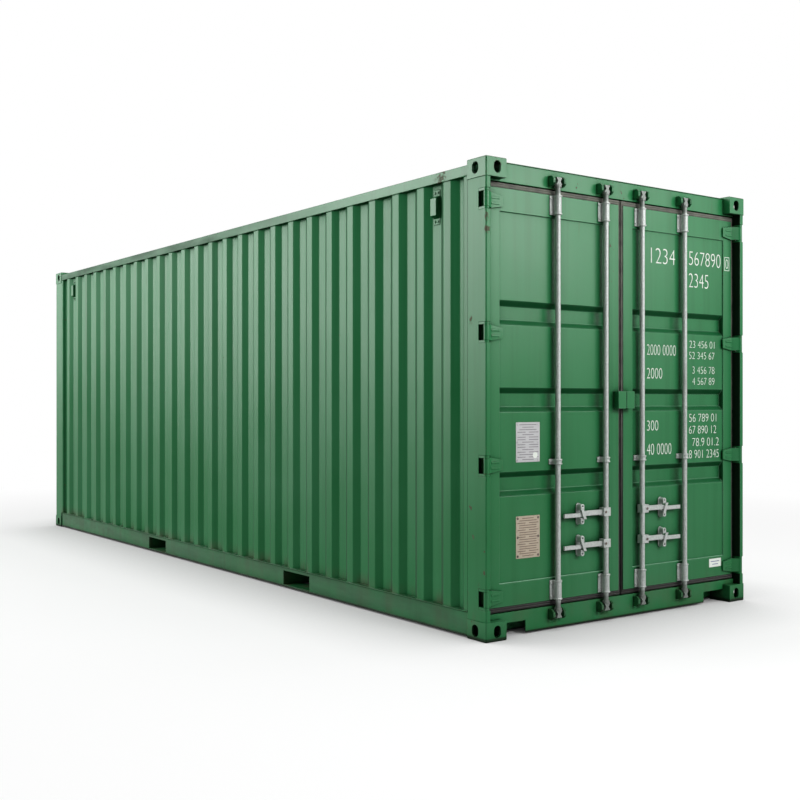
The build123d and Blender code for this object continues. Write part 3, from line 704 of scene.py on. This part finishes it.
def sheet_line(node):
    """The outer line of a pressed sheet: at each place along it, the point that stands furthest out."""
    along, depth, outward = pressed_sheets[node][:3]
    line = {}
    for vertex in frame["nodes"][node].data.vertices:
        place = round(vertex.co[along], 4)
        reach = vertex.co[depth]
        if place not in line or (reach - line[place]) * outward > 0:
            line[place] = reach
    return [Vector(point) for point in sorted(line.items())]


def rounded_line(corners, radius):
    """The same line with a small arc at each bend."""
    line = [corners[0]]
    for before, corner, after in zip(corners, corners[1:], corners[2:]):
        back = before - corner
        onward = after - corner
        reach = radius / math.tan(back.angle(onward) / 2)
        reach = min(reach, bend_share * back.length, bend_share * onward.length)
        start = corner + back.normalized() * reach
        end = corner + onward.normalized() * reach
        for step in range(bend_steps + 1):
            share = step / bend_steps
            line.append(start.lerp(corner, share).lerp(corner.lerp(end, share), share))
    return line + [corners[-1]]


def add_pressed_sheet(node):
    """A pressed sheet with rounded bends, in the place of the sharp one."""
    along, depth, outward, bend = pressed_sheets[node]
    sweep = X + Y + Z - along - depth
    low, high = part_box(node)
    line = rounded_line(sheet_line(node), bend)
    bm = bmesh.new()
    rows = []
    for inset, end in ((0.0, low), (0.0, high), (sheet, high), (sheet, low)):
        row = []
        for place, reach in line:
            point = Vector((0.0, 0.0, 0.0))
            point[along] = place
            point[depth] = reach - outward * inset
            point[sweep] = end[sweep]
            row.append(bm.verts.new(point))
        rows.append(row)
    for row, following in zip(rows, rows[1:] + rows[:1]):
        for corners in zip(row, row[1:], following[1:], following):
            bm.faces.new(corners)
    for end in (0, -1):
        bm.faces.new([row[end] for row in rows])
    piece = add_built(f"{node}_pressed", bm, finish_of(node), body_of[node])
    piece.modifiers.new("face_normals", "WEIGHTED_NORMAL").keep_sharp = True
    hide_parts(node)


def add_beads(name, paths, radius, slot, body, closed=False, finish=None):
    """Round beads along paths of straight runs."""
    curve = bpy.data.curves.new(name, "CURVE")
    curve.dimensions = "3D"
    curve.bevel_depth = radius
    curve.bevel_resolution = 1
    for path in paths:
        spline = curve.splines.new("POLY")
        spline.points.add(len(path) - 1)
        for point, place in zip(spline.points, path):
            point.co = (*place, 1.0)
        spline.use_cyclic_u = closed
    line = bpy.data.objects.new(f"{name}_line", curve)
    mesh = bpy.data.meshes.new_from_object(line)
    bpy.data.objects.remove(line)
    bpy.data.curves.remove(curve)
    mesh.shade_smooth()
    return add_piece(name, mesh, finish or slot, body)


def add_wall_welds():
    for node in ("side_wall_left", "side_wall_right", "blind_end_wall"):
        along, depth = pressed_sheets[node][:2]
        low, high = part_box(node)
        paths = []
        for height in (low[Z], high[Z]):
            path = []
            for place, reach in sheet_line(node):
                point = [0.0, 0.0, height]
                point[along] = place
                point[depth] = reach
                path.append(point)
            paths.append(path)
        add_beads(f"{node}_welds", paths, wall_bead, "wall_paint", "frame")


def add_post_welds():
    paths = []
    for node, face in (("door_post_left", door_post_nose), ("door_post_right", door_post_nose),
                       ("blind_post_left", blind_post_face), ("blind_post_right", blind_post_face)):
        low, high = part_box(node)
        outer_x, outward = (low[X], -1) if "left" in node else (high[X], 1)
        outer_y, inner_y = (low[Y], high[Y]) if "door" in node else (high[Y], low[Y])
        for height in (low[Z], high[Z]):
            paths.append([(outer_x - outward * face, outer_y, height), (outer_x, outer_y, height),
                          (outer_x, inner_y, height)])
    add_beads("post_welds", paths, post_bead, "frame_paint", "frame")


def add_door_lines():
    """Welds round the door panels, a painted highlight line at the foot of each, and a painted shade line
    along the top edge of the header.
    """
    for side in ("left", "right"):
        node = f"{side}_door_panel"
        low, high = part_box(node)
        line = sheet_line(node)
        up = [(low[X], reach, place) for place, reach in line]
        down = [(high[X], reach, place) for place, reach in reversed(line)]
        add_beads(f"{node}_welds", [up + down], panel_bead, "door_paint", f"{side}_door", closed=True)
        # Painted highlight: a pale line along the foot of each panel, where its ledge catches the light
        foot = [(x, low[Y] - foot_highlight_bead / 2, low[Z]) for x in (low[X] + panel_bead, high[X] - panel_bead)]
        add_beads(f"{node}_foot", [foot], foot_highlight_bead, "door_paint", f"{side}_door", finish="foot_highlight_paint")

    # Painted shade: a thin near black line along the top edge of the header
    low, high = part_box("door_header")
    reach = high[X] - header_shade_line_inset
    edge = [(x, low[Y], high[Z] - header_shade_line) for x in (-reach, reach)]
    add_beads("header_shade_line", [edge], header_shade_line, "frame_paint", "frame", finish="keeper_shade_paint")


def add_head(bm, place, outward, size, sides):
    """A bolt or rivet head on a washer, standing on a face."""
    radius, height = size
    place = Vector(place)
    outward = Vector(outward)
    turn = Vector(upward).rotation_difference(outward).to_matrix().to_4x4()
    washer_height = washer_height_share * height
    stages = (
        (washer_share * radius, washer_share * radius, 0.0, washer_height, 2 * sides),
        (radius, head_taper * radius, washer_height, height, sides),
    )
    for foot_radius, top_radius, foot, top, count in stages:
        middle = place + outward * (foot + top) / 2
        bmesh.ops.create_cone(
            bm, cap_ends=True, segments=count, radius1=foot_radius, radius2=top_radius, depth=top - foot,
            matrix=Matrix.Translation(middle) @ turn,
        )


def add_vent_bolts():
    low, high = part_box("side_vents")
    tab_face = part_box("side_wall_right")[0][X] + sheet + vent_tab_thickness
    vent_y = high[Y] - vent_tab_width / 2
    bm = bmesh.new()
    for side_x in (-1, 1):
        for side_y in (-1, 1):
            for height in (low[Z] + vent_tab / 2, high[Z] - vent_tab / 2):
                for shift in (-vent_bolt_spread / 2, vent_bolt_spread / 2):
                    place = (side_x * tab_face, side_y * (vent_y + shift), height)
                    add_head(bm, place, (side_x, 0, 0), vent_bolt, hexagon)
    add_built("vent_bolts", bm, "frame_paint", "frame")


def add_door_bolts():
    """Bolts of the rod brackets and guides, and the ends of the hub pins."""
    wide, tall = (spread / 2 for spread in bracket_bolt_spread)
    for side, sign in (("left", -1), ("right", 1)):
        low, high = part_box(f"{side}_rod_brackets")
        bm = bmesh.new()
        for offset in rod_offsets:
            for shift in (-wide, wide):
                x = sign * offset + shift
                for centre in (low[Z] + bracket_height / 2, high[Z] - bracket_height / 2):
                    for rise in (-tall, tall):
                        add_head(bm, (x, bracket_face, centre + rise), doorward, bracket_bolt, hexagon)
                add_head(bm, (x, guide_face, guide_height), doorward, bracket_bolt, hexagon)
        add_built(f"{side}_bracket_bolts", bm, "galvanised_steel", f"{side}_door")

        bm = bmesh.new()
        for height in hub_pin_heights:
            add_head(bm, (sign * hub_pin_x, hub_pin_face, height), doorward, pin_cap, cap_sides)
        add_built(f"{side}_pin_caps", bm, "rusty_pin", f"{side}_inner_rod")


def add_seal_ribs():
    """Long ribs round the face of each seal."""
    for side, hinge, free in (("left", "hinge", "free"), ("right", "free", "hinge")):
        low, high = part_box(f"{side}_door_seal")
        rings = []
        for share in rib_shares:
            x_low = low[X] + share * seal_lips[hinge]
            x_high = high[X] - share * seal_lips[free]
            z_low = low[Z] + share * seal_lips["foot"]
            z_high = high[Z] - share * seal_lips["head"]
            y = low[Y]
            rings.append([(x_low, y, z_low), (x_high, y, z_low), (x_high, y, z_high), (x_low, y, z_high)])
        add_beads(f"{side}_seal_ribs", rings, rib_radius, "rubber_seal", f"{side}_door", closed=True)


def add_plate(bm, spans, face, thickness, corner):
    """A thin plate with rounded corners on a face that looks towards -Y."""
    (x_low, x_high), (z_low, z_high) = spans
    centres = ((x_high - corner, z_high - corner), (x_low + corner, z_high - corner),
               (x_low + corner, z_low + corner), (x_high - corner, z_low + corner))
    rings = []
    chamfer = plate_chamfer * thickness
    for y, inset in ((face, 0.0), (face - thickness + chamfer, 0.0), (face - thickness, chamfer)):
        ring = []
        for quarter, (x, z) in enumerate(centres):
            for step in range(bend_steps + 1):
                angle = math.radians(90.0 * (quarter + step / bend_steps))
                reach = corner - inset
                ring.append(bm.verts.new((x + reach * math.cos(angle), y, z + reach * math.sin(angle))))
        rings.append(ring)
    for ring, following in zip(rings, rings[1:]):
        for index, vertex in enumerate(ring):
            bm.faces.new((ring[index - 1], vertex, following[index], following[index - 1]))
    bm.faces.new(rings[0])
    bm.faces.new(rings[-1])


def add_rules(bm, spans, face, rows):
    """Plain rules on a plate: rows of bars, each row a list of spans as shares of the width."""
    (x_low, x_high), (z_low, z_high) = spans
    width = x_high - x_low
    for row, shares in enumerate(rows):
        z = z_high - (row + 1) * (z_high - z_low) / (len(rows) + 1)
        for start, end in shares:
            bar = ((x_low + start * width, x_low + end * width), (z - rule_height / 2, z + rule_height / 2))
            add_plate(bm, bar, face, rule_rise, rule_corner)


def add_plates():
    """Two riveted plates and a sticker, with plain rules in the place of their print."""
    wide = [(0.14, 0.86)]
    pair = [(0.06, 0.40), (0.54, 0.94)]
    narrow = [(0.26, 0.74)]
    layouts = {
        "white_plate": (white_plate_spans,
                        [wide, narrow, wide] + 3 * [pair, narrow, pair] + [wide, pair, narrow]),
        "tan_plate": (tan_plate_spans, [narrow] + 5 * [wide, pair, wide] + [narrow]),
    }
    for name, (spans, rows) in layouts.items():
        (x_low, x_high), (z_low, z_high) = spans
        bm = bmesh.new()
        add_plate(bm, spans, panel_face, plate_thickness, plate_corner)
        face = panel_face - plate_thickness
        add_built(name, bm, name, "left_door")
        bm = bmesh.new()
        add_rules(bm, spans, face, rows)
        add_built(f"{name}_rules", bm, f"{name}_ink", "left_door")
        bm = bmesh.new()
        heights = (z_low + rivet_inset, (z_low + z_high) / 2, z_high - rivet_inset)
        for x in (x_low + rivet_inset, x_high - rivet_inset):
            for z in heights:
                add_head(bm, (x, face, z), doorward, rivet, rivet_sides)
        finish = "white_plate" if name == "white_plate" else "rusty_pin"
        add_built(f"{name}_rivets", bm, finish, "left_door")
    bm = bmesh.new()
    x_low, x_high = white_plate_mark[0]
    rounding = mark_roundness * (x_high - x_low)
    add_plate(bm, white_plate_mark, panel_face - plate_thickness, paint_rise, rounding)
    add_built("white_plate_mark", bm, "white_marks", "left_door")
    bm = bmesh.new()
    add_plate(bm, sticker_spans, stile_face, paint_rise, plate_corner)
    add_built("small_sticker", bm, "white_marks", "right_door")
    bm = bmesh.new()
    add_rules(bm, sticker_spans, stile_face - paint_rise, [wide, narrow])
    add_built("small_sticker_rules", bm, "sticker_ink", "right_door")


def add_numbers():
    """Plain painted numbers, each row stretched to its own span."""
    bm = bmesh.new()
    for text, x_span, z_span, face in numbers:
        curve = bpy.data.curves.new("number", "FONT")
        curve.body = text
        curve.extrude = 1.0
        curve.offset = number_thinning
        line = bpy.data.objects.new("number_line", curve)
        mesh = bpy.data.meshes.new_from_object(line)
        lows = [min(vertex.co[axis] for vertex in mesh.vertices) for axis in (X, Y)]
        highs = [max(vertex.co[axis] for vertex in mesh.vertices) for axis in (X, Y)]
        wide, tall = ((end - start) / (high - low)
                      for (start, end), low, high in zip((x_span, z_span), lows, highs))
        for vertex in mesh.vertices:
            across, up, out = vertex.co
            vertex.co = (
                x_span[0] + wide * (across - lows[X]),
                face - paint_rise * (1.0 + out) / 2,
                z_span[0] + tall * (up - lows[Y]),
            )
        bm.from_mesh(mesh)
        bpy.data.objects.remove(line)
        bpy.data.curves.remove(curve)
        bpy.data.meshes.remove(mesh)
    (x_low, x_high), (z_low, z_high) = check_box
    for bar in (
        ((x_low, x_high), (z_low, z_low + check_line)),
        ((x_low, x_high), (z_high - check_line, z_high)),
        ((x_low, x_low + check_line), (z_low + check_line, z_high - check_line)),
        ((x_high - check_line, x_high), (z_low + check_line, z_high - check_line)),
    ):
        add_plate(bm, bar, stile_face, paint_rise, check_corner)
    add_built("right_door_numbers", bm, "white_marks", "right_door")


def add_floor_screws():
    low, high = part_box("plywood_floor")
    bm = bmesh.new()
    count = int((high[Y] - low[Y] - 2 * screw_margin) / screw_pitch)
    for row in range(count + 1):
        y = low[Y] + screw_margin + row * screw_pitch
        for column in range(screw_columns):
            x = low[X] + screw_margin + column * (high[X] - low[X] - 2 * screw_margin) / (screw_columns - 1)
            add_head(bm, (x, y, high[Z]), upward, screw, hexagon)
    add_built("floor_screws", bm, "galvanised_steel", "frame")


def add_camera():
    data = bpy.data.cameras.new("camera")
    data.sensor_width = sensor_width
    data.lens = focal_pixels * sensor_width / image_side
    data.clip_end = camera_reach
    camera = bpy.data.objects.new("camera", data)
    camera.location = camera_place
    camera.rotation_euler = (math.radians(camera_pitch), 0.0, -math.radians(camera_azimuth))
    bpy.context.scene.collection.objects.link(camera)
    bpy.context.scene.camera = camera


def add_lamps():
    for name, (place, target, wide, tall, power) in lamps.items():
        data = bpy.data.lights.new(name, "AREA")
        data.shape = "RECTANGLE"
        data.size = wide
        data.size_y = tall
        data.energy = power
        lamp = bpy.data.objects.new(name, data)
        lamp.location = place
        lamp.rotation_euler = (Vector(target) - Vector(place)).to_track_quat("-Z", "Y").to_euler()
        bpy.context.scene.collection.objects.link(lamp)


def add_world():
    """White to the camera, a dim even light, and for mirrors a bright right side over a dim ground."""
    world = bpy.data.worlds.new("studio")
    world.use_nodes = True
    bpy.context.scene.world = world
    g = Graph(world.node_tree)
    path = g.add("ShaderNodeLightPath").outputs
    direction = g.add("ShaderNodeTexCoord").outputs["Generated"]
    azimuth = math.radians(mirror_azimuth)
    left, right, dim = mirror_left_to_right
    rightward = (math.sin(azimuth), math.cos(azimuth), 0.0)
    bright_side = g.ramp(g.dot(direction, rightward), left, right, dim, 1.0)
    ground, sky, dim = mirror_horizon
    mirrored = g.times(bright_side, g.ramp(g.split(direction)[Z], ground, sky, dim, mirror_level))
    shows = g.math("MAXIMUM", path["Is Glossy Ray"], path["Is Transmission Ray"])
    strength = g.math("MAXIMUM", g.times(shows, mirrored), ambient_strength)
    strength = g.math("MAXIMUM", strength, path["Is Camera Ray"])
    background = g.add("ShaderNodeBackground", {"Color": white, "Strength": strength})
    g.add("ShaderNodeOutputWorld", {"Surface": background.outputs["Background"]})


def add_floor():
    """A pale floor that keeps its shadow near the part, where a painted shadow also fades its glow to the
    camera, and is plain white to the camera further off.
    """
    mesh = bpy.data.meshes.new("floor")
    r = floor_reach
    mesh.from_pydata([(-r, -r, 0.0), (r, -r, 0.0), (r, r, 0.0), (-r, r, 0.0)], [], [(0, 1, 2, 3)])
    floor = bpy.data.objects.new("floor", mesh)
    bpy.context.scene.collection.objects.link(floor)
    material, g = new_material("pale_floor")
    distance = g.add("ShaderNodeVectorMath", {0: g.place()}, operation="LENGTH").outputs["Value"]
    far = g.ramp(distance, floor_white_from, floor_white_to)
    seen = g.add("ShaderNodeLightPath").outputs["Is Camera Ray"]
    lit = g.add("ShaderNodeBsdfDiffuse", {"Color": (floor_albedo, floor_albedo, floor_albedo, 1.0)})
    # Painted shadow: the glow to the camera fades near the part and under it
    glow_level = g.times(seen, g.times(floor_glow, g.openness(floor_shade_reach, floor_shade_samples)))
    glow = g.add("ShaderNodeEmission", {"Strength": glow_level})
    near_floor = g.add("ShaderNodeAddShader", {0: lit.outputs[0], 1: glow.outputs[0]}).outputs[0]
    plain_white = g.add("ShaderNodeEmission", {"Strength": 1.0}).outputs[0]
    blend = g.add("ShaderNodeMixShader", {0: g.times(far, seen), 1: near_floor, 2: plain_white})
    g.add("ShaderNodeOutputMaterial", {"Surface": blend.outputs[0]})
    mesh.materials.append(material)


bpy.context.scene.view_settings.view_transform = "Standard"
add_camera()
finish_nodes()
for pressed in pressed_sheets:
    add_pressed_sheet(pressed)
add_wall_welds()
add_post_welds()
add_door_lines()
add_vent_bolts()
add_door_bolts()
add_seal_ribs()
add_plates()
add_numbers()
add_floor_screws()
add_lamps()
add_world()
add_floor()
